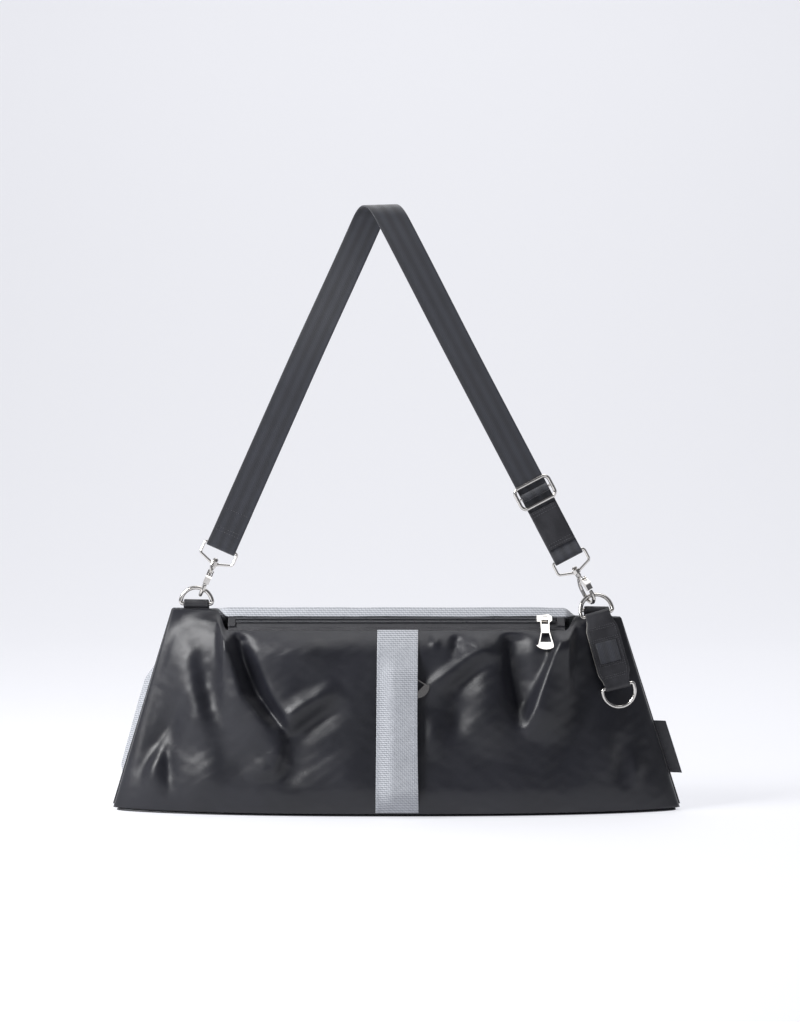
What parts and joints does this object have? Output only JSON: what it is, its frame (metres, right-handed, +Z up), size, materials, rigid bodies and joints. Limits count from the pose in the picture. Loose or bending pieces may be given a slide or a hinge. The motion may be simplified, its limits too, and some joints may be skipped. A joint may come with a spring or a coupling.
{
  "type": "shoulder bag",
  "caption": "Wide soft shoulder bag with a zipped top, a banded front pocket, swivel trigger hooks, a folded webbing strap and a hanging key tab.",
  "frame": {"origin": "middle of the flat underside of the base panel", "axes": "+X to the bag's right seen from the front, +Y to the back, +Z up"},
  "size_m": [0.5685, 0.1343, 0.6047],
  "materials": {
    "black_nylon": "smooth black nylon twill with a soft sheen",
    "grey_weave": "coarse matt grey weave",
    "lining_fabric": "thin plain lining",
    "black_leather": "fine grain, semi matt",
    "black_webbing": "ribbed woven webbing",
    "nickel": "polished nickel plate",
    "zip_black": "black nylon coil",
    "zip_tape": "woven zip tape"
  },
  "bodies": {
    "bag": {"front_panel": "black_nylon", "back_panel": "grey_weave", "base_panel": "black_nylon", "lining_front": "lining_fabric", "lining_back": "lining_fabric", "side_seam_left": "black_nylon", "side_seam_right": "black_nylon", "side_label": "black_nylon", "front_band": "grey_weave", "pocket_bag": "lining_fabric", "pocket_tape_left": "zip_tape", "pocket_tape_right": "zip_tape", "pocket_coil_left": "zip_black", "pocket_coil_right": "zip_black", "zip_tape_front": "zip_tape", "zip_tape_back": "zip_tape", "zip_coil_front": "zip_black", "zip_coil_back": "zip_black", "zip_end_left": "black_leather", "zip_end_right": "black_leather", "leather_loop_left": "black_leather", "leather_loop_right": "black_leather"},
    "top_slider": {"zip_slider": "nickel"},
    "top_puller": {"zip_puller": "nickel"},
    "pocket_runner": {"pocket_slider": "nickel"},
    "pocket_pull": {"pocket_puller": "nickel"},
    "ring_left": {"d_ring_left": "nickel"},
    "ring_right": {"d_ring_right": "nickel"},
    "strap": {"strap_webbing": "black_webbing", "strap_patch": "black_leather", "bail_left": "nickel", "bail_right": "nickel"},
    "slide": {"slide_frame": "nickel", "slide_bar": "nickel", "slide_wrap": "black_webbing"},
    "hook_left_body": {"hook_left": "nickel", "gate_pin_left": "nickel", "gate_spring_left": "nickel"},
    "gate_left_body": {"gate_left": "nickel"},
    "hook_right_body": {"hook_right": "nickel", "gate_pin_right": "nickel", "gate_spring_right": "nickel"},
    "gate_right_body": {"gate_right": "nickel"},
    "key_tab": {"key_ring_upper": "nickel", "key_tab_front": "black_leather", "key_tab_back": "black_leather", "key_tab_webbing": "black_webbing"},
    "key_ring": {"key_ring_lower": "nickel"}
  },
  "joints": [
    {"name": "top_zip_slide", "type": "slide", "parent": "bag", "child": "top_slider", "axis": [1, 0, 0], "range_m": [-0.288, 0]},
    {"name": "top_puller_swing", "type": "hinge", "parent": "top_slider", "child": "top_puller", "pos_m": [0.1465, -0.02279, 0.19125], "axis": [1, 0, 0], "range_deg": [-100, 0]},
    {"name": "pocket_zip_slide", "type": "slide", "parent": "bag", "child": "pocket_runner", "axis": [0, 0.158, 0.9874], "range_m": [-0.092, 0]},
    {"name": "pocket_puller_swing", "type": "hinge", "parent": "pocket_runner", "child": "pocket_pull", "pos_m": [0.006, -0.04708, 0.14155], "axis": [0, -0.9874, 0.158], "range_deg": [-20, 5]},
    {"name": "ring_left_tilt", "type": "hinge", "parent": "bag", "child": "ring_left", "pos_m": [-0.2, 0, 0.2055], "axis": [0.9998, 0, -0.0175], "range_deg": [-60, 0]},
    {"name": "ring_right_tilt", "type": "hinge", "parent": "bag", "child": "ring_right", "pos_m": [0.2, 0, 0.1985], "axis": [0.9998, 0, -0.0175], "range_deg": [-60, 0]},
    {"name": "strap_swing", "type": "hinge", "parent": "ring_left", "child": "strap", "pos_m": [-0.19356, 0, 0.22004], "axis": [0.9998, 0, -0.0193], "range_deg": [-20, 20]},
    {"name": "hook_left_swivel", "type": "hinge", "parent": "strap", "child": "hook_left_body", "pos_m": [-0.19356, 0, 0.22004], "axis": [0.4051, 0, 0.9143], "range_deg": [-20, 10]},
    {"name": "hook_right_swivel", "type": "hinge", "parent": "strap", "child": "hook_right_body", "pos_m": [0.19261, -0.00225, 0.21258], "axis": [-0.4648, 0, 0.8854], "range_deg": [-12, 4]},
    {"name": "gate_left_press", "type": "hinge", "parent": "hook_left_body", "child": "gate_left_body", "pos_m": [-0.18547, -0.00577, 0.2368], "axis": [0.9092, 0.1045, -0.4029], "range_deg": [0, 22], "stiffness_Nm_per_rad": 0.02},
    {"name": "gate_right_press", "type": "hinge", "parent": "hook_right_body", "child": "gate_right_body", "pos_m": [0.18605, -0.00755, 0.23014], "axis": [0.8088, 0.4067, 0.4247], "range_deg": [0, 22], "stiffness_Nm_per_rad": 0.02},
    {"name": "strap_slide_adjust", "type": "slide", "parent": "strap", "child": "slide", "axis": [-0.4648, 0, 0.8854], "range_m": [0, 0.12]},
    {"name": "key_tab_swing", "type": "hinge", "parent": "ring_right", "child": "key_tab", "pos_m": [0.19503, -0.0041, 0.21423], "axis": [0.9681, 0, 0.2504], "range_deg": [-60, 0]},
    {"name": "key_ring_swing", "type": "hinge", "parent": "key_tab", "child": "key_ring", "pos_m": [0.21803, -0.02727, 0.12529], "axis": [0.9681, 0, 0.2504], "range_deg": [-90, 0]}
  ],
  "couplings": [
    {"joint": "ring_right_tilt", "follows": "ring_left_tilt", "ratio": 1}
  ]
}
